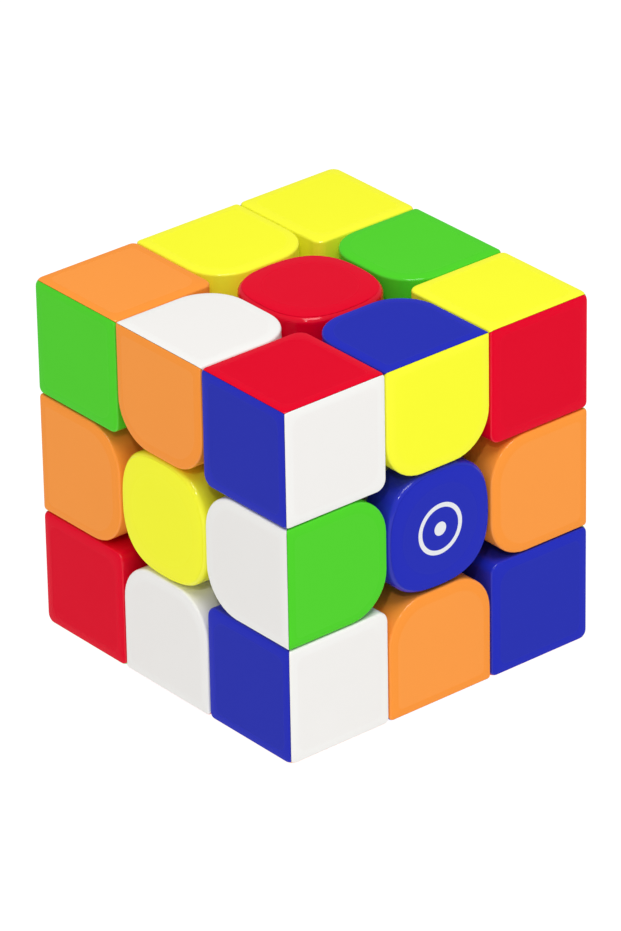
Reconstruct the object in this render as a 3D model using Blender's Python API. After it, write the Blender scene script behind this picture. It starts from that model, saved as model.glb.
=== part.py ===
"""A twisty puzzle cube, three layers each way, without stickers: its shells, feet, core and screws.

Each kind of piece is modelled once, in one place of the cube, and its copies are turned about the
cube's centre into their own places. Sizes are in metres and +Z is up. The origin is the centre of
the core, where the six turning axes meet, so every piece's origin lies on all the axes it turns on.
"""

import math

import bmesh
import bpy
from mathutils import Matrix, Vector

# Driving dimensions.
SIDE = 0.056  # across the whole cube
GAP = 0.0003  # running gap between pieces that turn past each other
FOOT_GAP = 0.0006  # the same between a foot and the block above it, whose shared sphere is faceted
SEAT = 0.0001  # gap between pieces that rest on each other
WALL = 0.0015  # thickness of the moulded shells
NECK = 0.0065  # from the centre to the cut between the feet of two layers
FOOT_OUTER = 0.0205  # radius of the sphere between the feet and the blocks above them
FOOT_INNER = 0.0125  # radius of the sphere between the core and the feet
TILE_RADIUS = 0.0065  # of the two corners that an edge's tile turns towards the centre
CORNER_TILE_RADIUS = 0.00125  # of the one corner that a corner's tile turns towards the centre
CUBE_EDGE_RADIUS = 0.0005  # along the outer edges of the cube
SEAM_RADIUS = 0.0003  # where a tile meets its neighbour
CUT = 0.0096  # from the centre to the cut between the middle layer and an outer one
CAP_RADIUS = 0.0106  # of a centre cap, which is cut flat where the layers part
CAP_RIM = 0.0008  # radius of the rounded rim of a centre cap
CAP_DEPTH = 0.0057  # height of a centre cap
SLOT_WIDTH = 0.0032  # of the opening up through an edge's foot
PEG_RADIUS = 0.0022  # of the peg that joins a corner's foot to its shell
PEG_REACH = 0.034  # from the centre to the end of that peg
SCREW_RADIUS = 0.0014
SCREW_HEAD_RADIUS = 0.0034
SCREW_HEAD_HEIGHT = 0.002
SCREW_TIP = 0.0038  # from the centre to the tip of a screw
RECESS_LENGTH = 0.0036  # of each slot of the cross in a screw's head
RECESS_WIDTH = 0.0008
SPRING_HEIGHT = 0.0056
SPRING_WIRE = 0.0003  # radius of the wire
SPRING_COIL = 0.0029  # radius of the coil, at the middle of the wire
SPRING_TURNS = 4
WASHER_THICKNESS = 0.0006
WASHER_RADIUS = 0.0039
ARM_RADIUS = 0.0042
HUB_RADIUS = 0.0072
BASE_FLOOR = 0.002
BASE_BORE = 0.0044

# How finely curves are cut into flats.
FACET_SAG = 0.00009  # how far a flat may cut inside its arc
CAP_STEPS = 32
RIM_STEPS = 4
BASE_STEPS = 16
SMALL_STEPS = 12
SPRING_STEPS = 8  # in each turn of a spring
BALL_SUBDIVISIONS = 3
HUB_SUBDIVISIONS = 2
SMOOTH_ANGLE = math.radians(35)
SAME_POINT = 1e-7  # points nearer than this are one

# Where the pieces end, worked out from the dimensions above.
HALF = SIDE / 2
BLOCK_LOW = CUT + GAP / 2
BLOCK_SIDE = CUT - GAP / 2
FOOT_LOW = NECK + GAP / 2
FOOT_SIDE = NECK - GAP / 2
BLOCK_FLOOR = FOOT_OUTER + FOOT_GAP / 2
FOOT_TOP = FOOT_OUTER - FOOT_GAP / 2
FOOT_FLOOR = FOOT_INNER + GAP / 2
ARM_END = FOOT_INNER - GAP
BASE_TOP = FOOT_INNER + BASE_FLOOR
CAP_FOOT = HALF - CAP_DEPTH
FAR = 2 * SIDE  # past everything

FACES = {
    "up": Vector((0, 0, 1)),
    "down": Vector((0, 0, -1)),
    "front": Vector((0, -1, 0)),
    "back": Vector((0, 1, 0)),
    "left": Vector((-1, 0, 0)),
    "right": Vector((1, 0, 0)),
}

# Colours as they look on a screen. The eye sees these, so they are turned linear for the material.
SCREEN_COLOURS = {
    "yellow": (0.98, 1.0, 0.2),
    "white": (0.95, 0.95, 0.93),
    "red": (0.9, 0.0, 0.15),
    "orange": (1.0, 0.6, 0.28),
    "blue": (0.18, 0.2, 0.72),
    "green": (0.33, 0.86, 0.2),
}
FOOT_COLOUR = (0.8, 0.8, 0.8)
CORE_COLOUR = (0.12, 0.12, 0.13)
STEEL_COLOUR = (0.75, 0.75, 0.76)
FROSTED = 0.45  # roughness of each finish
MOULDED = 0.4
SATIN = 0.5
PLATED = 0.3
CENTRES = {
    "up": "red",
    "down": "orange",
    "front": "yellow",
    "back": "white",
    "left": "green",
    "right": "blue",
}
# A piece is named by the faces it lies in, and its colours stand in the same order.
EDGES = {
    "up_front": ("white", "orange"),
    "up_back": ("green", "red"),
    "up_left": ("yellow", "red"),
    "up_right": ("blue", "yellow"),
    "front_left": ("orange", "yellow"),
    "front_right": ("white", "green"),
    "back_left": ("green", "yellow"),
    "back_right": ("green", "orange"),
    "down_front": ("red", "white"),
    "down_back": ("white", "blue"),
    "down_left": ("blue", "red"),
    "down_right": ("blue", "orange"),
}
CORNERS = {
    "up_front_left": ("orange", "green", "yellow"),
    "up_front_right": ("red", "blue", "white"),
    "up_back_left": ("yellow", "orange", "blue"),
    "up_back_right": ("yellow", "green", "red"),
    "down_front_left": ("green", "red", "white"),
    "down_front_right": ("orange", "blue", "white"),
    "down_back_left": ("orange", "white", "green"),
    "down_back_right": ("red", "yellow", "blue"),
}


def clear_scene():
    for thing in list(bpy.data.objects):
        bpy.data.objects.remove(thing)


def linear(channel):
    """A screen colour's channel as light, by the sRGB curve."""
    return channel / 12.92 if channel <= 0.04045 else ((channel + 0.055) / 1.055) ** 2.4


def material(name, colour, roughness, metallic=0.0):
    made = bpy.data.materials.new(name)
    made.use_nodes = True
    shader = made.node_tree.nodes["Principled BSDF"]
    shader.inputs["Base Color"].default_value = (*map(linear, colour), 1.0)
    shader.inputs["Roughness"].default_value = roughness
    shader.inputs["Metallic"].default_value = metallic
    return made


def piece_from(name, shape):
    """Turns a bmesh into an object, with its faces pointing out."""
    bmesh.ops.recalc_face_normals(shape, faces=shape.faces)
    mesh = bpy.data.meshes.new(name)
    shape.to_mesh(mesh)
    shape.free()
    piece = bpy.data.objects.new(name, mesh)
    bpy.context.collection.objects.link(piece)
    return piece


def box(name, low, high):
    shape = bmesh.new()
    bmesh.ops.create_cube(shape, size=1)
    low, high = Vector(low), Vector(high)
    for vertex in shape.verts:
        vertex.co = (low + high) / 2 + vertex.co * (high - low)
    return piece_from(name, shape)


def ball(name, radius, subdivisions=BALL_SUBDIVISIONS):
    shape = bmesh.new()
    bmesh.ops.create_icosphere(shape, subdivisions=subdivisions, radius=radius)
    return piece_from(name, shape)


def rod(name, direction, start, end, radius):
    """A cylinder along a line through the origin, between two distances from it."""
    shape = bmesh.new()
    bmesh.ops.create_cone(
        shape,
        cap_ends=True,
        segments=SMALL_STEPS,
        radius1=radius,
        radius2=radius,
        depth=end - start,
    )
    lift = Matrix.Translation((0, 0, (start + end) / 2))
    turn = Vector((0, 0, 1)).rotation_difference(direction).to_matrix().to_4x4()
    bmesh.ops.transform(shape, matrix=turn @ lift, verts=shape.verts)
    return piece_from(name, shape)


def rounded_outline(low, high, radii):
    """A rectangle, anticlockwise from its low corner, with a radius for each corner in turn."""
    corners = ((low[0], low[1]), (high[0], low[1]), (high[0], high[1]), (low[0], high[1]))
    points = []
    for index, ((across, along), radius) in enumerate(zip(corners, radii)):
        middle_across = across + (radius if index in (0, 3) else -radius)
        middle_along = along + (radius if index in (0, 1) else -radius)
        steps = math.ceil(math.pi / 4 / math.acos(1 - FACET_SAG / radius))
        for step in range(steps + 1):
            angle = math.pi + math.pi / 2 * (index + step / steps)
            points.append(
                (middle_across + radius * math.cos(angle), middle_along + radius * math.sin(angle))
            )
    return points


def prism(name, outline, low, high, axes):
    """Extrudes an outline. The letters of axes say where its two ways and its depth lie."""
    across, along, deep = ("XYZ".index(letter) for letter in axes)
    shape = bmesh.new()
    ring = []
    for point in outline:
        place = Vector((0, 0, 0))
        place[across], place[along], place[deep] = *point, low
        ring.append(shape.verts.new(place))
    base = shape.faces.new(ring)
    raised = bmesh.ops.extrude_face_region(shape, geom=[base])["geom"]
    for vertex in (part for part in raised if isinstance(part, bmesh.types.BMVert)):
        vertex.co[deep] = high
    return piece_from(name, shape)


def turned(name, profile, steps):
    """Turns a closed profile of radii and heights about the Z axis."""
    shape = bmesh.new()
    ring = [shape.verts.new((radius, 0, height)) for radius, height in profile]
    edges = []
    for start, end in zip(ring, ring[1:] + ring[:1]):
        if start.co.x > 0 or end.co.x > 0:
            edges.append(shape.edges.new((start, end)))
    bmesh.ops.spin(
        shape, geom=ring + edges, cent=(0, 0, 0), axis=(0, 0, 1), angle=math.tau, steps=steps
    )
    bmesh.ops.remove_doubles(shape, verts=shape.verts, dist=SAME_POINT)
    return piece_from(name, shape)


def combine(piece, tool, operation):
    """Applies one Boolean to a piece, and removes the tool."""
    modifier = piece.modifiers.new(operation, "BOOLEAN")
    modifier.operation = operation
    modifier.object = tool
    bpy.context.view_layer.update()
    graph = bpy.context.evaluated_depsgraph_get()
    shaped = bpy.data.meshes.new_from_object(piece.evaluated_get(graph))
    piece.modifiers.clear()
    piece.data = shaped
    bpy.data.objects.remove(tool)


def subtract(piece, *tools):
    for tool in tools:
        combine(piece, tool, "DIFFERENCE")


def unite(piece, *tools):
    for tool in tools:
        combine(piece, tool, "UNION")


def keep_common(piece, *tools):
    for tool in tools:
        combine(piece, tool, "INTERSECT")


def finished_mesh(piece, tile_axes=(2,)):
    """Takes a finished model's mesh, and gives each face the slot of the tile it lies nearest."""
    mesh = piece.data
    mesh.materials.clear()
    for _ in tile_axes:
        mesh.materials.append(None)
    for face in mesh.polygons:
        reach = [face.center[axis] for axis in tile_axes]
        face.material_index = reach.index(max(reach))
    mesh.shade_smooth()
    mesh.set_sharp_from_angle(angle=SMOOTH_ANGLE)
    bpy.data.objects.remove(piece)
    return mesh


def place(name, mesh, turn, materials):
    """Puts a copy of a piece in its place, turned about the centre of the cube."""
    copy = bpy.data.objects.new(name, mesh)
    bpy.context.collection.objects.link(copy)
    copy.matrix_world = turn.to_4x4()
    for slot, finish in zip(copy.material_slots, materials):
        slot.link = "OBJECT"
        slot.material = finish


def corner_block(name, low, high):
    """A corner's outer block: what three prisms with rounded outlines, one each way, share."""
    radii = (CORNER_TILE_RADIUS, SEAM_RADIUS, CUBE_EDGE_RADIUS, SEAM_RADIUS)
    outline = rounded_outline((low, low), (high, high), radii)
    block = prism(name, outline, low, high, "XYZ")
    keep_common(
        block,
        prism("along_x", outline, low, high, "YZX"),
        prism("along_y", outline, low, high, "ZXY"),
    )
    return block


def corner_shell():
    """A hollow corner, open over its foot, with room for the peg that holds it."""
    shell = corner_block("corner_shell", BLOCK_LOW, HALF)
    hollow_low = BLOCK_LOW + WALL
    hollow_high = HALF - WALL
    subtract(
        shell,
        box("hollow", [hollow_low] * 3, [hollow_high] * 3),
        ball("floor", BLOCK_FLOOR),
        rod("peg_way", Vector((1, 1, 1)), 0, PEG_REACH, PEG_RADIUS + GAP),
    )
    return finished_mesh(shell, tile_axes=(0, 1, 2))


def corner_foot():
    """The foot that the neighbouring layers hold down, with its peg up into the shell."""
    foot = box("corner_foot", [FOOT_LOW] * 3, [HALF] * 3)
    keep_common(foot, ball("outside", FOOT_TOP))
    subtract(foot, ball("inside", FOOT_FLOOR))
    peg_start = (FOOT_FLOOR + FOOT_TOP) / 2
    unite(foot, rod("peg", Vector((1, 1, 1)), peg_start, PEG_REACH, PEG_RADIUS))
    return finished_mesh(foot)


def edge_block(name, inset, tile_radius):
    """An edge's outer block, with both its tiles rounded towards the centres they face."""
    side = BLOCK_SIDE - inset
    low = BLOCK_LOW + inset
    high = HALF - inset
    radii = (tile_radius, tile_radius, SEAM_RADIUS, SEAM_RADIUS)
    tile = rounded_outline((-side, low), (side, high), radii)
    radii = (SEAM_RADIUS, SEAM_RADIUS, CUBE_EDGE_RADIUS, SEAM_RADIUS)
    section = rounded_outline((low, low), (high, high), radii)
    block = prism(name, tile, low, high, "XYZ")
    keep_common(
        block,
        prism("other_tile", tile, low, high, "XZY"),
        prism("section", section, -side, side, "YZX"),
    )
    return block


def edge():
    """A hollow edge with its stem and foot, and a slot up through the foot into the hollow."""
    piece = edge_block("edge", 0, TILE_RADIUS)
    subtract(piece, ball("floor", BLOCK_FLOOR))
    foot = box("foot", (-FOOT_SIDE, FOOT_LOW, FOOT_LOW), (FOOT_SIDE, HALF, HALF))
    keep_common(foot, ball("outside", FOOT_TOP))
    stem_low = (-FOOT_SIDE, BLOCK_LOW, BLOCK_LOW)
    unite(foot, box("stem", stem_low, (FOOT_SIDE, BLOCK_FLOOR, BLOCK_FLOOR)))
    subtract(foot, ball("inside", FOOT_FLOOR))
    unite(piece, foot)
    hollow = edge_block("hollow", WALL, TILE_RADIUS - WALL)
    subtract(hollow, ball("under", BLOCK_FLOOR + WALL))
    slot_side = FOOT_SIDE - WALL
    slot_top = BLOCK_FLOOR + 2 * WALL
    slot = box("slot", (-slot_side, -SLOT_WIDTH / 2, 0), (slot_side, SLOT_WIDTH / 2, slot_top))
    slot.data.transform(Matrix.Rotation(-math.pi / 4, 4, "X"))
    subtract(piece, hollow, slot)
    return finished_mesh(piece, tile_axes=(1, 2))


def centre_cap():
    """A cup that closes over the centre base. Its rolled rim is round, but for four flats."""
    rim = []
    for step in range(RIM_STEPS + 1):
        angle = math.pi / 2 * step / RIM_STEPS
        across = CAP_RADIUS - CAP_RIM * (1 - math.sin(angle))
        rim.append((across, HALF - CAP_RIM * (1 - math.cos(angle))))
    side = BLOCK_SIDE - SEAT / 2
    bore = side - WALL
    roof = HALF - WALL
    inside = [(CAP_RADIUS, CAP_FOOT), (bore, CAP_FOOT), (bore, roof), (0, roof)]
    cap = turned("centre_cap", [(0, HALF), *rim, *inside], CAP_STEPS)
    keep_common(cap, box("flats", (-side, -side, 0), (side, side, FAR)))
    return finished_mesh(cap)


def centre_base():
    """The cup that turns on the screw: a stem among the feet, a shoulder and a plug for the cap."""
    shoulder_radius = BLOCK_SIDE - SEAT / 2
    shoulder_low = BLOCK_FLOOR + SEAT
    shoulder_high = CAP_FOOT - SEAT
    plug_radius = shoulder_radius - WALL - GAP
    plug_top = HALF - WALL - GAP
    hole = SCREW_RADIUS + GAP
    profile = [
        (hole, FOOT_INNER),
        (FOOT_SIDE, FOOT_INNER),
        (FOOT_SIDE, shoulder_low),
        (shoulder_radius, shoulder_low),
        (shoulder_radius, shoulder_high),
        (plug_radius, shoulder_high),
        (plug_radius, plug_top),
        (BASE_BORE, plug_top),
        (BASE_BORE, BASE_TOP),
        (hole, BASE_TOP),
    ]
    return finished_mesh(turned("centre_base", profile, BASE_STEPS))


def washer(low):
    hole = SCREW_RADIUS + GAP
    high = low + WASHER_THICKNESS
    profile = [(WASHER_RADIUS, high), (WASHER_RADIUS, low), (hole, low), (hole, high)]
    return finished_mesh(turned("washer", profile, SMALL_STEPS))


def spring(low, finish):
    """A wound wire, as a curve, which stands between the washer and the screw's head."""
    wire = bpy.data.curves.new("spring", "CURVE")
    wire.dimensions = "3D"
    wire.bevel_depth = SPRING_WIRE
    wire.bevel_resolution = 0
    wire.use_fill_caps = True
    wire.materials.append(finish)
    count = SPRING_TURNS * SPRING_STEPS + 1
    line = wire.splines.new("POLY")
    line.points.add(count - 1)
    rise = SPRING_HEIGHT - 2 * SPRING_WIRE
    for index, point in enumerate(line.points):
        angle = math.tau * index / SPRING_STEPS
        height = low + SPRING_WIRE + rise * index / (count - 1)
        point.co = (SPRING_COIL * math.cos(angle), SPRING_COIL * math.sin(angle), height, 1)
    return wire


def screw(head_low):
    """A screw with a flat head and a cross recess."""
    head_top = head_low + SCREW_HEAD_HEIGHT
    profile = [
        (0, head_top),
        (SCREW_HEAD_RADIUS, head_top),
        (SCREW_HEAD_RADIUS, head_low),
        (SCREW_RADIUS, head_low),
        (SCREW_RADIUS, SCREW_TIP + SCREW_RADIUS),
        (0, SCREW_TIP),
    ]
    piece = turned("screw", profile, SMALL_STEPS)
    floor = head_top - SCREW_HEAD_HEIGHT / 2
    long, short = RECESS_LENGTH / 2, RECESS_WIDTH / 2
    recess = box("recess", (-long, -short, floor), (long, short, FAR))
    unite(recess, box("crossing", (-short, -long, floor), (short, long, FAR)))
    subtract(piece, recess)
    return finished_mesh(piece)


def core():
    """A hub with six arms, and a blind screw hole in each."""
    piece = ball("core", HUB_RADIUS, HUB_SUBDIVISIONS)
    for face in ("right", "back", "up"):
        arm = rod("arms", FACES[face], -ARM_END, ARM_END, ARM_RADIUS)
        unite(piece, arm)
    hole_end = SCREW_TIP - GAP
    for direction in FACES.values():
        subtract(piece, rod("hole", direction, hole_end, FAR, SCREW_RADIUS + GAP))
    return finished_mesh(piece)


def turn_to(direction):
    """Turns +Z to a face's direction."""
    if direction.z < 0:
        return Matrix.Rotation(math.pi, 3, "X")
    return Vector((0, 0, 1)).rotation_difference(direction).to_matrix()


def turn_axes(*directions):
    """Turns +X, +Y and +Z to three directions."""
    return Matrix(directions).transposed()


def build_core(plastic, steel):
    place("core", core(), Matrix.Identity(3), [plastic])
    washer_low = BASE_TOP + SEAT
    spring_low = washer_low + WASHER_THICKNESS + SEAT
    head_low = spring_low + SPRING_HEIGHT + SEAT
    meshes = {
        "washer": washer(washer_low),
        "spring": spring(spring_low, steel),
        "screw": screw(head_low),
    }
    for face, direction in FACES.items():
        for kind, mesh in meshes.items():
            place(f"{kind}_{face}", mesh, turn_to(direction), [steel])


def build_centres(plastics, foot_plastic):
    cap, base = centre_cap(), centre_base()
    for face, colour in CENTRES.items():
        turn = turn_to(FACES[face])
        place(f"centre_cap_{face}", cap, turn, [plastics[colour]])
        place(f"centre_base_{face}", base, turn, [foot_plastic])


def build_edges(plastics):
    mesh = edge()
    for where, colours in EDGES.items():
        first, second = (FACES[face] for face in where.split("_"))
        turn = turn_axes(first.cross(second), first, second)
        place(f"edge_{where}", mesh, turn, [plastics[colour] for colour in colours])


def build_corners(plastics, foot_plastic):
    shell, foot = corner_shell(), corner_foot()
    for where, colours in CORNERS.items():
        directions = [FACES[face] for face in where.split("_")]
        finishes = [plastics[colour] for colour in colours]
        if turn_axes(*directions).determinant() < 0:
            directions.reverse()
            finishes.reverse()
        turn = turn_axes(*directions)
        place(f"corner_shell_{where}", shell, turn, finishes)
        place(f"corner_foot_{where}", foot, turn, [foot_plastic])


def main():
    clear_scene()
    plastics = {name: material(name, colour, FROSTED) for name, colour in SCREEN_COLOURS.items()}
    foot_plastic = material("foot_plastic", FOOT_COLOUR, MOULDED)
    core_plastic = material("core_plastic", CORE_COLOUR, SATIN)
    steel = material("steel", STEEL_COLOUR, PLATED, metallic=1.0)
    build_core(core_plastic, steel)
    build_centres(plastics, foot_plastic)
    build_edges(plastics)
    build_corners(plastics, foot_plastic)


main()
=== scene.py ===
# %% [markdown]
# # A twisty puzzle cube, piece by piece
#
# The real puzzle is a small machine: a core with six screws, six round centre caps, twelve edges
# and eight corners, all moulded in coloured plastic with no stickers. The CAD model already fixes
# every place and every turning axis. This lesson builds what the eye sees around it: crowned
# tiles with frosted middles and glossy rims, the feet below them, and their finishes.

# %% Load the frame
import math

import bmesh
import bpy
from mathutils import Matrix, Vector


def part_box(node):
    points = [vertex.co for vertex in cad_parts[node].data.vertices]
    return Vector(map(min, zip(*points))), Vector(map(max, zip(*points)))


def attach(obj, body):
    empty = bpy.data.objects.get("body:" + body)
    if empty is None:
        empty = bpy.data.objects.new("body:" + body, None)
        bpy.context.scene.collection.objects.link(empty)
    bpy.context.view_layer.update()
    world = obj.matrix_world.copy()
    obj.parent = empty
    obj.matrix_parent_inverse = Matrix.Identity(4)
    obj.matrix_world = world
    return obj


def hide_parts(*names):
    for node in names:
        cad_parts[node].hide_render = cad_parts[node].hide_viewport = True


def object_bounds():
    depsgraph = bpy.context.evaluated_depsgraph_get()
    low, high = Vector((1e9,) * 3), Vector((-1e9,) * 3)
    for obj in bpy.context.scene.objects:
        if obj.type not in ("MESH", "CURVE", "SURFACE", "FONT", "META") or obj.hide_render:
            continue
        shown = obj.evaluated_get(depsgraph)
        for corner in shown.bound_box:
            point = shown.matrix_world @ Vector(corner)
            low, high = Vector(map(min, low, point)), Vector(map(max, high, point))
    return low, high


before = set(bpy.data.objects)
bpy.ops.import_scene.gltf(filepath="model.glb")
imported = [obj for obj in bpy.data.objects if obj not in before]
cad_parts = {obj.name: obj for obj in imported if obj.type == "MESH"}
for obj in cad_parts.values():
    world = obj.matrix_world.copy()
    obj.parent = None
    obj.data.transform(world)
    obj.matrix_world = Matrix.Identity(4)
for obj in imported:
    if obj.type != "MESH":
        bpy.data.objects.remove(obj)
cad_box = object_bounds()
print("CAD box, mm:", [round(1000 * side, 2) for side in cad_box[1] - cad_box[0]])

# %% [markdown]
# The blocks of the cube are measured from the CAD nodes. A corner's lowest corner says where its
# block begins, and an edge's width says how far the middle layer reaches. The visible shells stand
# a little closer together than the working solids, as good mouldings do.

# %% Measure the blocks
MM = 0.001
corner_low, corner_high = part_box("corner_shell_up_back_right")
edge_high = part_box("edge_up_back")[1]
HALF = corner_high.x
SNUG = 0.04 * MM
BLOCK_LOW = corner_low.x - SNUG
BLOCK_SIDE = edge_high.x + SNUG
places = {"half side": HALF, "block": BLOCK_LOW, "middle layer": BLOCK_SIDE}
print({name: round(place / MM, 3) for name, place in places.items()})

# %% [markdown]
# A puzzle looks best a little from above, with three faces showing. A long lens from almost a
# metre away keeps the edges nearly parallel, as product pictures have them.

# %% Camera
CAMERA_AZIMUTH = math.radians(50.65)
CAMERA_ELEVATION = math.radians(27.9)
CAMERA_ROLL = math.radians(-1.03)
CAMERA_DISTANCE = 0.937
CAMERA_LENS = 251.4
CAMERA_SHIFT = (-0.003, -0.0068)


def direction_of(azimuth, elevation):
    """The way from the cube to a place, turned anticlockwise from the front and raised."""
    return Vector((
        math.sin(azimuth) * math.cos(elevation),
        -math.cos(azimuth) * math.cos(elevation),
        math.sin(elevation),
    ))


def add_camera():
    """Looks at the middle of the cube from one side and a little above."""
    back = direction_of(CAMERA_AZIMUTH, CAMERA_ELEVATION)
    across = Vector((math.cos(CAMERA_AZIMUTH), math.sin(CAMERA_AZIMUTH), 0))
    above = back.cross(across)
    level = Matrix((across, above, back)).transposed()
    bpy.ops.object.camera_add(location=back * CAMERA_DISTANCE)
    camera = bpy.context.object
    camera.rotation_euler = (level @ Matrix.Rotation(CAMERA_ROLL, 3, "Z")).to_euler()
    camera.data.lens = CAMERA_LENS
    camera.data.shift_x, camera.data.shift_y = CAMERA_SHIFT
    camera.data.clip_end = 10
    bpy.context.scene.camera = camera


add_camera()

# %% [markdown]
# Every new piece starts from a primitive and is then shaped in edit mode. These helpers keep that
# readable: one clears the selection, one selects parts of a mesh by a test of their place, and one
# cuts a piece with a tool and takes the tool away.

# %% Modelling helpers
NEAR = 0.001 * MM
SMOOTH_BELOW = math.radians(32)


def deselect():
    bpy.ops.object.select_all(action="DESELECT")


def activate(piece):
    deselect()
    piece.select_set(True)
    bpy.context.view_layer.objects.active = piece


def new_piece(name):
    """Names the primitive that was just added, and puts its place into its mesh."""
    piece = bpy.context.object
    piece.name = piece.data.name = name
    activate(piece)
    bpy.ops.object.transform_apply(location=True, rotation=True, scale=True)
    return piece


def edit(piece):
    activate(piece)
    bpy.ops.object.mode_set(mode="EDIT")


def done():
    bpy.ops.object.mode_set(mode="OBJECT")


def middle_of(part):
    """The middle of a vertex, an edge or a face."""
    if isinstance(part, bmesh.types.BMVert):
        return part.co
    corners = [vertex.co for vertex in part.verts]
    return sum(corners, Vector()) / len(corners)


def pick(piece, kind, test):
    """In edit mode, selects just those vertices, edges or faces whose middle passes a test."""
    bpy.ops.mesh.select_mode(type=kind)
    bpy.ops.mesh.select_all(action="DESELECT")
    shape = bmesh.from_edit_mesh(piece.data)
    for part in {"VERT": shape.verts, "EDGE": shape.edges, "FACE": shape.faces}[kind]:
        if test(middle_of(part)):
            part.select_set(True)
    shape.select_flush_mode()
    bmesh.update_edit_mesh(piece.data)


def pick_open_edges(piece, test=lambda place: True):
    """In edit mode, selects the edges that have one face or none."""
    bpy.ops.mesh.select_mode(type="EDGE")
    bpy.ops.mesh.select_all(action="DESELECT")
    shape = bmesh.from_edit_mesh(piece.data)
    for part in shape.edges:
        part.select_set(len(part.link_faces) < 2 and test(middle_of(part)))
    bmesh.update_edit_mesh(piece.data)


def cut_with(piece, tool, operation="DIFFERENCE"):
    """Applies one Boolean to a piece, and removes the tool."""
    cut = piece.modifiers.new("cut", "BOOLEAN")
    cut.operation = operation
    cut.solver = "EXACT"
    cut.object = tool
    activate(piece)
    bpy.ops.object.modifier_apply(modifier=cut.name)
    bpy.data.objects.remove(tool)


def smooth(piece):
    activate(piece)
    bpy.ops.object.shade_smooth_by_angle(angle=SMOOTH_BELOW)


def open_edges(piece):
    """How many edges of a mesh don't have exactly two faces. A closed piece has none."""
    shape = bmesh.new()
    shape.from_mesh(piece.data)
    count = sum(len(edge.link_faces) != 2 for edge in shape.edges)
    shape.free()
    return count


def report(piece):
    sides = [round(side / MM, 2) for side in piece.dimensions]
    faces = len(piece.data.polygons)
    print(f"{piece.name}: {faces} faces, {sides} mm, {open_edges(piece)} open edges")


# %% [markdown]
# Each tile is a plate with rounded corners. A plane primitive gives the plate, and bevelling its
# corner vertices one by one gives each corner its own radius, anticlockwise from the low corner.

# %% Rounded plates
CORNER_STEPS = 10


def rounded_plate(name, low, high, height, radii):
    """A flat plate at one height, with a radius for each corner in turn."""
    size = (high[0] - low[0], high[1] - low[1], 1)
    middle = ((low[0] + high[0]) / 2, (low[1] + high[1]) / 2, height)
    deselect()
    bpy.ops.mesh.primitive_plane_add(size=1, location=middle)
    bpy.context.object.scale = size
    plate = new_piece(name)
    corners = ((low[0], low[1]), (high[0], low[1]), (high[0], high[1]), (low[0], high[1]))
    edit(plate)
    for corner, radius in zip(corners, radii):
        place = Vector((*corner, height))
        pick(plate, "VERT", lambda point: (point - place).length < NEAR)
        bpy.ops.mesh.bevel(
            offset=radius,
            segments=CORNER_STEPS,
            profile=0.5,
            affect="VERTICES",
            clamp_overlap=False,
        )
    done()
    return plate


def rounded_prism(name, low, high, radii, bottom, top):
    """A solid with a rounded outline, from one height to another."""
    prism = rounded_plate(name, low, high, bottom, radii)
    edit(prism)
    bpy.ops.mesh.select_all(action="SELECT")
    bpy.ops.mesh.extrude_region_move(TRANSFORM_OT_translate={"value": (0, 0, top - bottom)})
    bpy.ops.mesh.select_all(action="SELECT")
    bpy.ops.mesh.normals_make_consistent(inside=False)
    done()
    return prism


# %% [markdown]
# The face of a tile is flat and frosted in the middle, with a glossy band round it that falls away
# a little towards the seams, and then rolls over into the wall. Two outlines with their own corner
# radii, bridged by a few cuts, give the band. A parabola makes it fall slowly at first, so that no
# line shows where the flat ends. The walls are extruded straight down, and the rollover is a bevel.

# %% Crowned tiles
CROWN = 0.17 * MM
ROLLOVER = 0.32 * MM
ROLLOVER_STEPS = 6
BAND_CUTS = 5


def crowned_block(middle, rim, bottom, crown, rollover):
    """A block under a crown, from the outlines of the flat middle and of the rim."""
    rim_height = HALF - crown
    activate(middle)
    rim.select_set(True)
    bpy.ops.object.join()
    edit(middle)
    bpy.ops.mesh.select_mode(type="FACE")
    bpy.ops.mesh.select_all(action="SELECT")
    bpy.ops.mesh.delete(type="ONLY_FACE")
    bpy.ops.mesh.select_mode(type="EDGE")
    bpy.ops.mesh.select_all(action="SELECT")
    bpy.ops.mesh.bridge_edge_loops(number_cuts=BAND_CUTS, interpolation="LINEAR")
    pick_open_edges(middle, lambda place: place.z > HALF - NEAR)
    bpy.ops.mesh.edge_face_add()
    done()
    for point in middle.data.vertices:
        fallen = (HALF - point.co.z) / crown  # 0 at the flat middle, 1 at the rim
        point.co.z = HALF - crown * fallen ** 2
    edit(middle)
    pick_open_edges(middle)
    bpy.ops.mesh.extrude_region_move(
        TRANSFORM_OT_translate={"value": (0, 0, bottom - rim_height)}
    )
    pick(middle, "EDGE", lambda place: abs(place.z - rim_height) < NEAR)
    bpy.ops.mesh.bevel(
        offset=rollover,
        segments=ROLLOVER_STEPS,
        profile=0.5,
        affect="EDGES",
        clamp_overlap=False,
    )
    pick_open_edges(middle)
    bpy.ops.mesh.edge_face_add()
    bpy.ops.mesh.select_all(action="SELECT")
    bpy.ops.mesh.normals_make_consistent(inside=False)
    done()
    return middle


def crowned_tile(name, low, high, radii, bands, middle_radii):
    """A block under a crowned tile that faces up, with its bands left, near, right and far."""
    left, near, right, far = bands
    inner_low = (low[0] + left, low[1] + near)
    inner_high = (high[0] - right, high[1] - far)
    middle = rounded_plate(name, inner_low, inner_high, HALF, middle_radii)
    rim = rounded_plate("rim", low, high, HALF - CROWN, radii)
    return crowned_block(middle, rim, 0, CROWN, ROLLOVER)


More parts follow.
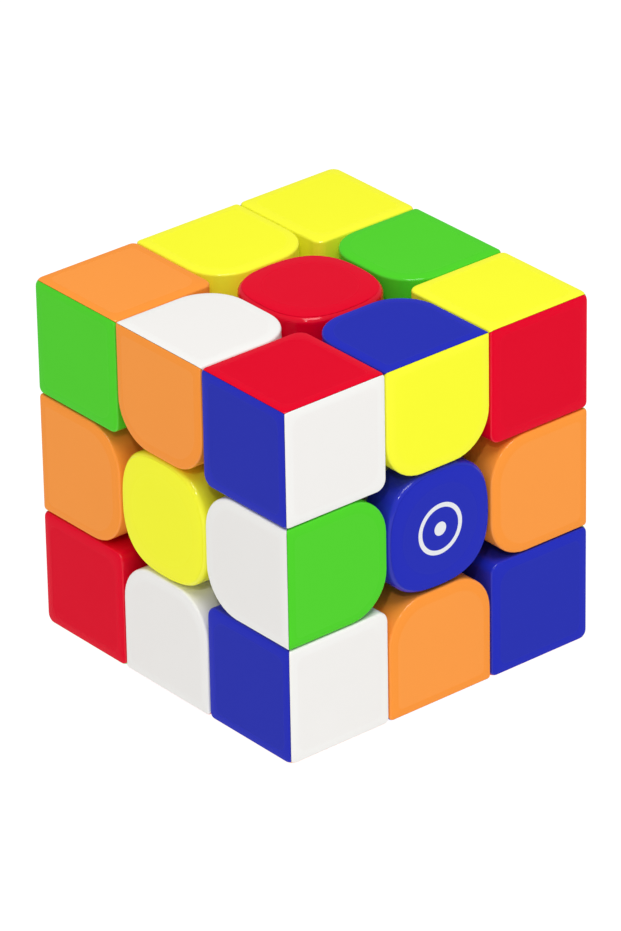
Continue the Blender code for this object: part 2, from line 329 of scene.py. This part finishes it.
# %% [markdown]
# A stickerless corner is three coloured shells clipped together, and an edge is two. Seen from the
# core, the cube is six pyramids, one for each face, and each shell fills its own pyramid: on the
# side walls two colours part along a diagonal. So every shell is a block that is hollowed, cut
# clear of the sphere that the feet turn in, and kept only inside its pyramid.

# %% Tools that cut every shell
BLOCK_FLOOR = 20.8 * MM
COLOUR_GAP = 0.04 * MM
SPHERE_SEGMENTS = 96
REACH = 2 * HALF


def ball(name, radius):
    deselect()
    bpy.ops.mesh.primitive_uv_sphere_add(
        segments=SPHERE_SEGMENTS, ring_count=SPHERE_SEGMENTS // 2, radius=radius
    )
    return new_piece(name)


def face_pyramid():
    """The pyramid from the middle of the cube out through its upper face."""
    deselect()
    bpy.ops.mesh.primitive_cone_add(
        vertices=4,
        radius1=0,
        radius2=REACH * math.sqrt(2),
        depth=REACH,
        location=(0, 0, REACH / 2 + COLOUR_GAP),
        rotation=(0, 0, math.pi / 4),
    )
    return new_piece("pyramid")


def finish_shell(shell, hollow):
    cut_with(shell, hollow)
    cut_with(shell, ball("turning_room", BLOCK_FLOOR))
    cut_with(shell, face_pyramid(), "INTERSECT")
    smooth(shell)
    report(shell)


# %% [markdown]
# The corner's tile faces up here, and its one corner towards the round centre cap is rounded more
# than the others.

# %% Corner shell
CORNER_RADII = [radius * MM for radius in (1.6, 0.8, 1.2, 0.8)]
CORNER_MIDDLE_RADII = [radius * MM for radius in (2.5, 1.3, 1.6, 1.3)]
CORNER_BANDS = [band * MM for band in (1.7, 1.7, 1.6, 1.6)]
WALL = 1.3 * MM
HOLLOW_RADIUS = 0.4 * MM
low, high = (BLOCK_LOW, BLOCK_LOW), (HALF, HALF)
corner_shell = crowned_tile(
    "corner_shell", low, high, CORNER_RADII, CORNER_BANDS, CORNER_MIDDLE_RADII
)
inner = BLOCK_LOW + WALL
outer = HALF - WALL
hollow_radii = [HOLLOW_RADIUS] * 4
hollow = rounded_prism("hollow", (inner, inner), (outer, outer), hollow_radii, -HALF, outer)
finish_shell(corner_shell, hollow)

# %% [markdown]
# The edge's tile turns two wide roundings towards the centre cap. Its other two corners, along the
# cube's own edge, are nearly square.

# %% Edge shell
EDGE_RADII = [radius * MM for radius in (6.5, 6.5, 0.45, 0.45)]
EDGE_MIDDLE_RADII = [radius * MM for radius in (5.2, 5.2, 0.9, 0.9)]
EDGE_BANDS = [band * MM for band in (1.6, 1.8, 1.6, 1.6)]
low, high = (-BLOCK_SIDE, BLOCK_LOW), (BLOCK_SIDE, HALF)
edge_shell = crowned_tile("edge_shell", low, high, EDGE_RADII, EDGE_BANDS, EDGE_MIDDLE_RADII)
side = BLOCK_SIDE - WALL
hollow_radii = [EDGE_RADII[0] - WALL] * 2 + [HOLLOW_RADIUS] * 2
hollow = rounded_prism("hollow", (-side, inner), (side, outer), hollow_radii, -HALF, outer)
finish_shell(edge_shell, hollow)

# %% [markdown]
# A centre cap fills the middle of a face: it is nearly a disc, but held inside its layer on four
# sides, as a superellipse is. It is flat inside a faint circle and falls gently from there to its
# rim. The same crowned block serves, between a small circle and one whose points are moved. The
# hollow is a cylinder cut out from below.

# %% Centre cap
cap_low, cap_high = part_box("centre_cap_up")
CAP_STEPS = 128
CAP_SIDE = cap_high.x + 2 * SNUG
CAP_SQUARENESS = 2.75
CAP_MIDDLE = 6.8 * MM
CAP_CROWN = 0.2 * MM
CAP_ROLLOVER = 0.9 * MM
CAP_BORE = CAP_SIDE - WALL


def disc(name, radius, height):
    deselect()
    bpy.ops.mesh.primitive_circle_add(
        vertices=CAP_STEPS, radius=radius, fill_type="NGON", location=(0, 0, height)
    )
    return new_piece(name)


def make_centre_cap():
    rim = disc("rim", CAP_SIDE, HALF - CAP_CROWN)
    for point in rim.data.vertices:
        across, along = abs(point.co.x) / CAP_SIDE, abs(point.co.y) / CAP_SIDE
        reach = (across ** CAP_SQUARENESS + along ** CAP_SQUARENESS) ** (-1 / CAP_SQUARENESS)
        point.co.x *= reach
        point.co.y *= reach
    middle = disc("centre_cap", CAP_MIDDLE, HALF)
    cap = crowned_block(middle, rim, cap_low.z, CAP_CROWN, CAP_ROLLOVER)
    roof = HALF - WALL
    deselect()
    bpy.ops.mesh.primitive_cylinder_add(
        vertices=CAP_STEPS,
        radius=CAP_BORE,
        depth=2 * (roof - cap_low.z),
        location=(0, 0, cap_low.z),
    )
    cut_with(cap, new_piece("hollow"))
    smooth(cap)
    report(cap)
    return cap


centre_cap = make_centre_cap()

# %% [markdown]
# Below its shells an edge has a foot, which the neighbouring centres and corners hold down, and a
# stem that joins the two. The foot is the part of a block that lies between two spheres, so a cube
# is kept inside the outer ball and the inner one is cut out. Narrow bevels take off the sharpness
# that a mould never leaves.

# %% Feet
SEAM = 0.3 * MM
FOOT_TOP = 20.2 * MM
FOOT_FLOOR = 12.65 * MM
FOOT_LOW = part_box("corner_foot_up_back_right")[0].x
FOOT_SIDE = FOOT_LOW - SEAM
FOOT_BEVEL = 0.25 * MM
BEVEL_ABOVE = math.radians(40)
STEM_INSET = 0.35 * MM


def block(name, low, high):
    """A plain block between two opposite corners."""
    middle = [(a + b) / 2 for a, b in zip(low, high)]
    size = [b - a for a, b in zip(low, high)]
    deselect()
    bpy.ops.mesh.primitive_cube_add(size=1, location=middle)
    bpy.context.object.scale = size
    return new_piece(name)


def make_foot(name, low, high):
    """What a block has between the two spheres."""
    foot = block(name, low, high)
    cut_with(foot, ball("outside", FOOT_TOP), "INTERSECT")
    cut_with(foot, ball("inside", FOOT_FLOOR))
    return foot


def ease_edges(piece):
    """Bevels the edges between faces that meet at a sharp angle."""
    eased = piece.modifiers.new("eased", "BEVEL")
    eased.width = FOOT_BEVEL
    eased.segments = 2
    eased.limit_method = "ANGLE"
    eased.angle_limit = BEVEL_ABOVE
    activate(piece)
    bpy.ops.object.modifier_apply(modifier=eased.name)
    smooth(piece)
    report(piece)


edge_foot = make_foot("edge_foot", (-FOOT_SIDE, FOOT_LOW, FOOT_LOW), (FOOT_SIDE, HALF, HALF))
stem_low = BLOCK_LOW + STEM_INSET
stem_side = FOOT_SIDE - STEM_INSET
stem_high = BLOCK_FLOOR - STEM_INSET
stem_from = (-stem_side, stem_low, stem_low)
stem_to = (stem_side, stem_high, stem_high)
cut_with(edge_foot, block("stem", stem_from, stem_to), "UNION")
ease_edges(edge_foot)

# %% [markdown]
# Shader maths reads best as ordinary expressions. This small class wraps a socket, so that adding
# and multiplying wrapped sockets adds the Math nodes, and one method makes any other node.

# %% Shader expressions


class Wire:
    """An output socket that can be reckoned with."""

    def __init__(self, tree, socket):
        self.tree = tree
        self.socket = socket

    def node(self, kind, settings=(), output=0, **inputs):
        """Adds a node: its settings first, then the values or wires of its sockets."""
        made = self.tree.nodes.new(kind)
        for key, value in dict(settings).items():
            setattr(made, key, value)
        for key, value in inputs.items():
            name = key.replace("_", " ")
            socket = made.inputs[int(name[1:])] if name[1:].isdigit() else made.inputs[name]
            if isinstance(value, Wire):
                self.tree.links.new(value.socket, socket)
            else:
                socket.default_value = value
        return Wire(self.tree, made.outputs[output])

    def maths(self, operation, first, second=0.0, clamp=False):
        settings = {"operation": operation, "use_clamp": clamp}
        return self.node("ShaderNodeMath", settings, s0=first, s1=second)

    def __add__(self, other):
        return self.maths("ADD", self, other)

    def __radd__(self, other):
        return self.maths("ADD", other, self)

    def __sub__(self, other):
        return self.maths("SUBTRACT", self, other)

    def __rsub__(self, other):
        return self.maths("SUBTRACT", other, self)

    def __mul__(self, other):
        return self.maths("MULTIPLY", self, other)

    def __rmul__(self, other):
        return self.maths("MULTIPLY", other, self)


class Finish:
    """A new material with a wrapped way to make its nodes."""

    def __init__(self, name):
        self.material = bpy.data.materials.new(name)
        self.material.use_nodes = True
        self.tree = self.material.node_tree
        self.shader = self.tree.nodes["Principled BSDF"]
        self.wire = Wire(self.tree, None)

    def place(self):
        return self.wire.node("ShaderNodeTexCoord", output="Object")

    def noise(self, place, scale, detail=2.0):
        return self.wire.node("ShaderNodeTexNoise", Vector=place, Scale=scale, Detail=detail)

    def bump(self, strength, distance, height):
        """Sets the normal from a height, which counts for a distance."""
        made = self.wire.node("ShaderNodeBump", Strength=strength, Distance=distance, Height=height)
        self.set("Normal", made)

    def blend(self, amount, first, second):
        """A colour that goes from the first to the second as the amount goes from 0 to 1."""
        settings = {"data_type": "RGBA"}
        return self.wire.node("ShaderNodeMix", settings, output=2, s0=amount, s6=first, s7=second)

    def set(self, socket, value):
        if isinstance(value, Wire):
            self.tree.links.new(value.socket, self.shader.inputs[socket])
        else:
            self.shader.inputs[socket].default_value = value


# %% [markdown]
# The tiles are moulded in a mould whose middles are spark-eroded, which leaves a fine satin grain,
# while the bands and walls come out glossy, and handling polishes the rounded rims most. Two
# numbers stored on each vertex say how frosted and how polished the surface is there. The first
# also says how much painted sheen the colour takes, in place of the veil that light lays on the
# frosted middles.

# %% Frost with painted sheen, and polish
FROST_AND_SHEEN = "frost_and_sheen"
POLISH = "polish"
# The caps take half the frost, and so half the painted sheen.
CAP_FROST_AND_SHEEN = 0.5


def store_marks(piece, crown, rollover, frost_and_sheen=1.0):
    """Marks the flat middle of a tile that faces up as matt, and its rollover as polished."""
    heights = [point.co.z for point in piece.data.vertices]
    rim_height = HALF - crown
    # The frost mark also sets how much painted sheen the colour takes.
    marks = {
        FROST_AND_SHEEN: [frost_and_sheen * (height > HALF - 2 * NEAR) for height in heights],
        POLISH: [
            float(rim_height - rollover - NEAR < height < rim_height - NEAR) for height in heights
        ],
    }
    for name, values in marks.items():
        piece.data.attributes.new(name, "FLOAT", "POINT").data.foreach_set("value", values)
    print(piece.name, {name: round(sum(values)) for name, values in marks.items()})


store_marks(corner_shell, CROWN, ROLLOVER)
store_marks(edge_shell, CROWN, ROLLOVER)
store_marks(centre_cap, CAP_CROWN, CAP_ROLLOVER, CAP_FROST_AND_SHEEN)

# %% [markdown]
# The plastic itself is coloured right through, very saturated and only a little shiny. Its specular
# level is one number on the shader. The colour differs slightly between the glossy bands and the
# frosted middles: that difference is painted sheen, the whitish veil and brighter bands that light
# gives, not a change in the plastic. A slow noise makes both of them a little uneven, as handled
# plastic is.

# %% Tile plastic
GRAIN_SCALE = 9000
GRAIN_HEIGHT = 0.004 * MM
GRAIN_STRENGTH = 0.5
SMUDGE_SCALE = 90
SMUDGE_SHADE = 0.8
SMUDGE_SHARE = 0.06
SMUDGE_ROUGHNESS = 0.08
FROSTED_ROUGHNESS = 0.5
GLOSSY_ROUGHNESS = 0.15
TILE_SHINE = 0.04
RIM_COAT = 0.5
RIM_ROUGHNESS = 0.12


def linear(channel):
    """A screen colour's channel as light, by the usual screen curve."""
    return channel / 12.92 if channel <= 0.04045 else ((channel + 0.055) / 1.055) ** 2.4


def light(colour):
    return (*(linear(channel / 255) for channel in colour), 1.0)


def tile_plastic(name, frosted_sheen_colour, glossy_sheen_colour, mark=None):
    """One tile colour, which may carry a printed mark."""
    finish = Finish(name)
    place = finish.place()
    frost_and_sheen = finish.wire.node("ShaderNodeAttribute", {"attribute_name": FROST_AND_SHEEN}, output="Fac")
    polish = finish.wire.node("ShaderNodeAttribute", {"attribute_name": POLISH}, output="Fac")
    smudge = finish.noise(place, SMUDGE_SCALE)
    grain = finish.noise(place, GRAIN_SCALE, detail=1.0)
    # Painted sheen: the two colours differ as light would make frosted and glossy plastic look.
    colour = finish.blend(frost_and_sheen, light(glossy_sheen_colour), light(frosted_sheen_colour))
    worn = light([SMUDGE_SHADE * channel for channel in frosted_sheen_colour])
    colour = finish.blend(smudge * SMUDGE_SHARE, colour, worn)
    if mark:
        colour = finish.blend(mark(finish, place), colour, light(PRINT_COLOUR))
    finish.set("Base Color", colour)
    rough = GLOSSY_ROUGHNESS + frost_and_sheen * (FROSTED_ROUGHNESS - GLOSSY_ROUGHNESS)
    finish.set("Roughness", rough + (smudge - 0.5) * SMUDGE_ROUGHNESS)
    finish.bump(GRAIN_STRENGTH, GRAIN_HEIGHT, grain * frost_and_sheen)
    finish.set("Specular IOR Level", TILE_SHINE)
    finish.set("Coat Weight", polish * RIM_COAT)
    finish.set("Coat Roughness", RIM_ROUGHNESS)
    return finish.material


# Frosted and glossy colour of each tile; their difference is painted sheen.
TILE_COLOURS_WITH_SHEEN = {
    "white": ((244, 242, 239), (246, 245, 242)),
    "yellow": ((254, 255, 50), (255, 255, 56)),
    "red": ((229, 0, 40), (232, 0, 41)),
    "orange": ((255, 158, 70), (255, 154, 60)),
    "blue": ((39, 49, 180), (36, 46, 188)),
    "green": ((83, 214, 46), (80, 214, 42)),
}
plastics = {name: tile_plastic(f"{name}_plastic", *pair) for name, pair in TILE_COLOURS_WITH_SHEEN.items()}

# %% [markdown]
# One cap carries a small printed mark, a plain ring round a dot, in white. It is only ink, so it is
# a mask in the finish: a ring is where the distance from the cap's axis is near one radius.

# %% Printed ring
PRINT_COLOUR = (233, 235, 240)
RING_RADIUS = 3.7 * MM
RING_WIDTH = 0.75 * MM
DOT_RADIUS = 1.1 * MM
INK_EDGE = 0.04 * MM


def ring_and_dot(finish, place):
    """One where the ink is, on a cap whose axis is X."""
    apart = finish.wire.node("ShaderNodeSeparateXYZ", Vector=place)
    along = Wire(apart.tree, apart.socket.node.outputs["Y"])
    above = Wire(apart.tree, apart.socket.node.outputs["Z"])
    distance = finish.wire.maths("SQRT", along * along + above * above)
    from_ring = finish.wire.maths("ABSOLUTE", distance - RING_RADIUS)
    in_ring = finish.wire.maths("MULTIPLY", RING_WIDTH / 2 - from_ring, 1 / INK_EDGE, clamp=True)
    in_dot = finish.wire.maths("MULTIPLY", DOT_RADIUS - distance, 1 / INK_EDGE, clamp=True)
    return finish.wire.maths("MAXIMUM", in_ring, in_dot)


marked_blue = tile_plastic("marked_blue_plastic", *TILE_COLOURS_WITH_SHEEN["blue"], mark=ring_and_dot)

# %% [markdown]
# The mechanism has three more finishes. The feet and the centre bases are satin grey plastic, the
# core is a darker one, and the screws, springs and washers are plated steel. The CAD nodes inside
# keep their shapes and take these finishes in place of their plain ones.

# %% Finishes of the mechanism
CLOUD_SCALE = 160
CLOUD_SHADE = 0.86
CLOUD_ROUGHNESS = 0.2
MOULD_SCALE = 6000
MOULD_HEIGHT = 0.006 * MM
MOULD_STRENGTH = 0.4
MOULD_SHINE = 0.35
TARNISH_SCALE = 700
TARNISH_ROUGHNESS = 0.22
STEEL_BRIGHT, STEEL_DULL = (214, 214, 216), (170, 168, 164)
STEEL_ROUGHNESS = 0.18
LINE_SCALE = 2500
LINE_STRETCH = (1, 1, 12)
LINE_HEIGHT = 0.01 * MM
LINE_STRENGTH = 0.3


def moulded_plastic(name, colour, roughness):
    """Satin plastic, a little cloudy."""
    finish = Finish(name)
    place = finish.place()
    cloud = finish.noise(place, CLOUD_SCALE, detail=4.0)
    grain = finish.noise(place, MOULD_SCALE, detail=1.0)
    darker = light([CLOUD_SHADE * channel for channel in colour])
    finish.set("Base Color", finish.blend(cloud, light(colour), darker))
    finish.set("Roughness", roughness + (cloud - 0.5) * CLOUD_ROUGHNESS)
    finish.bump(MOULD_STRENGTH, MOULD_HEIGHT, grain)
    finish.set("Specular IOR Level", MOULD_SHINE)
    return finish.material


def plated_steel(name):
    """Bright metal that is duller in patches, with fine lines round it."""
    finish = Finish(name)
    place = finish.place()
    tarnish = finish.noise(place, TARNISH_SCALE, detail=3.0)
    stretched = finish.wire.node("ShaderNodeMapping", Vector=place, Scale=LINE_STRETCH)
    lines = finish.noise(stretched, LINE_SCALE)
    finish.set("Base Color", finish.blend(tarnish, light(STEEL_BRIGHT), light(STEEL_DULL)))
    finish.set("Metallic", 1.0)
    finish.set("Roughness", STEEL_ROUGHNESS + tarnish * TARNISH_ROUGHNESS)
    finish.bump(LINE_STRENGTH, LINE_HEIGHT, lines)
    return finish.material


finishes = {f"{name}_plastic": finish for name, finish in plastics.items()}
finishes["foot_plastic"] = moulded_plastic("foot_plastic", (206, 206, 204), 0.38)
finishes["core_plastic"] = moulded_plastic("core_plastic", (44, 45, 49), 0.45)
finishes["steel"] = plated_steel("steel")
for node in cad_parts.values():
    for part in node.material_slots:
        part.material = finishes[part.material.name.split(".")[0]]
print("finishes:", sorted(finishes))

# %% [markdown]
# Now every piece goes to its place. The tables say which colour lies where, as the CAD model has
# it. Each model was made in one place of the cube, so a turn about the centre is all it takes.

# %% Places and colours
FACES = {
    "up": Vector((0, 0, 1)),
    "down": Vector((0, 0, -1)),
    "front": Vector((0, -1, 0)),
    "back": Vector((0, 1, 0)),
    "left": Vector((-1, 0, 0)),
    "right": Vector((1, 0, 0)),
}
CENTRES = {
    "up": "red",
    "down": "orange",
    "front": "yellow",
    "back": "white",
    "left": "green",
    "right": "blue",
}
# A piece is named by the faces it lies in, and its colours stand in the same order.
EDGES = {
    "up_front": ("white", "orange"),
    "up_back": ("green", "red"),
    "up_left": ("yellow", "red"),
    "up_right": ("blue", "yellow"),
    "front_left": ("orange", "yellow"),
    "front_right": ("white", "green"),
    "back_left": ("green", "yellow"),
    "back_right": ("green", "orange"),
    "down_front": ("red", "white"),
    "down_back": ("white", "blue"),
    "down_left": ("blue", "red"),
    "down_right": ("blue", "orange"),
}
CORNERS = {
    "up_front_left": ("orange", "green", "yellow"),
    "up_front_right": ("red", "blue", "white"),
    "up_back_left": ("yellow", "orange", "blue"),
    "up_back_right": ("yellow", "green", "red"),
    "down_front_left": ("green", "red", "white"),
    "down_front_right": ("orange", "blue", "white"),
    "down_back_left": ("orange", "white", "green"),
    "down_back_right": ("red", "yellow", "blue"),
}


def turn_axes(*directions):
    """Turns +X, +Y and +Z to three directions."""
    return Matrix(directions).transposed()


def put(model, name, turn, body, node, finish):
    """A copy of a piece with its own mesh, turned about the middle of the cube into its place."""
    mesh = model.data.copy()
    mesh.name = name
    mesh.transform(turn.to_4x4())
    mesh.materials.clear()
    mesh.materials.append(finish)
    piece = bpy.data.objects.new(name, mesh)
    bpy.context.scene.collection.objects.link(piece)
    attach(piece, body)
    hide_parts(node)
    return piece


def tile_turn(face, inward):
    """Turns a model whose tile faces up, and whose +Y points inward's way, to one face."""
    return turn_axes(inward.cross(face), inward, face)


for face, colour in CENTRES.items():
    direction = FACES[face]
    side_way = FACES["back"] if face in ("up", "down") else FACES["up"]
    put(
        centre_cap,
        f"cap_{face}",
        tile_turn(direction, side_way),
        f"centre_{face}",
        f"centre_cap_{face}",
        marked_blue if face == "right" else plastics[colour],
    )

for where, colours in EDGES.items():
    directions = [FACES[face] for face in where.split("_")]
    put(
        edge_foot,
        f"edge_{where}_foot",
        turn_axes(directions[0].cross(directions[1]), *directions),
        f"edge_{where}",
        f"edge_{where}",
        finishes["foot_plastic"],
    )
    for index, colour in enumerate(colours):
        face, other = directions[index], directions[1 - index]
        put(
            edge_shell,
            f"edge_{where}_{where.split('_')[index]}_shell",
            tile_turn(face, other),
            f"edge_{where}",
            f"edge_{where}",
            plastics[colour],
        )

for where, colours in CORNERS.items():
    names = where.split("_")
    for index, colour in enumerate(colours):
        face = FACES[names[index]]
        first, second = (FACES[name] for name in names if FACES[name] != face)
        if first.cross(second).dot(face) < 0:
            first, second = second, first
        put(
            corner_shell,
            f"corner_{where}_{names[index]}_shell",
            turn_axes(first, second, face),
            f"corner_{where}",
            f"corner_shell_{where}",
            plastics[colour],
        )

for model in (centre_cap, edge_shell, corner_shell, edge_foot):
    bpy.data.objects.remove(model)

# %% [markdown]
# The cube stands on a plain white floor in soft studio light. The floor glows a little, so that it
# stays white. A wide lamp high on the right lights the upper face most, and one small lamp near
# the camera puts the sparks on the rounded rims.

# %% Floor and light
FLOOR_SIZE = 6.0
FLOOR_COLOUR = (0.15, 0.15, 0.15, 1)
FLOOR_ROUGHNESS = 0.9
FLOOR_GLOW = 0.93
WHITE_LIGHT = (1, 1, 1, 1)
SKY = 0.4
LAMP_DISTANCE = 1.0
deselect()
bpy.ops.mesh.primitive_plane_add(size=FLOOR_SIZE, location=(0, 0, cad_box[0].z))
floor = bpy.context.object
floor.name = "floor"
paper = Finish("paper")
paper.set("Base Color", FLOOR_COLOUR)
paper.set("Roughness", FLOOR_ROUGHNESS)
paper.set("Emission Color", WHITE_LIGHT)
paper.set("Emission Strength", FLOOR_GLOW)
floor.data.materials.append(paper.material)

world = bpy.data.worlds.new("studio")
world.use_nodes = True
background = world.node_tree.nodes["Background"]
background.inputs["Color"].default_value = WHITE_LIGHT
background.inputs["Strength"].default_value = SKY
bpy.context.scene.world = world


def add_softbox(name, azimuth, elevation, size, power):
    """A square lamp that looks at the cube, from two angles in degrees."""
    back = direction_of(math.radians(azimuth), math.radians(elevation))
    deselect()
    bpy.ops.object.light_add(type="AREA", location=back * LAMP_DISTANCE)
    lamp = bpy.context.object
    lamp.name = name
    lamp.rotation_euler = back.to_track_quat("Z", "Y").to_euler()
    lamp.data.size = size
    lamp.data.energy = power


add_softbox("key", azimuth=66.5, elevation=69, size=0.5, power=5.8)
add_softbox("spark", azimuth=45, elevation=42, size=0.05, power=1.2)
bpy.context.scene.view_settings.view_transform = "Standard"
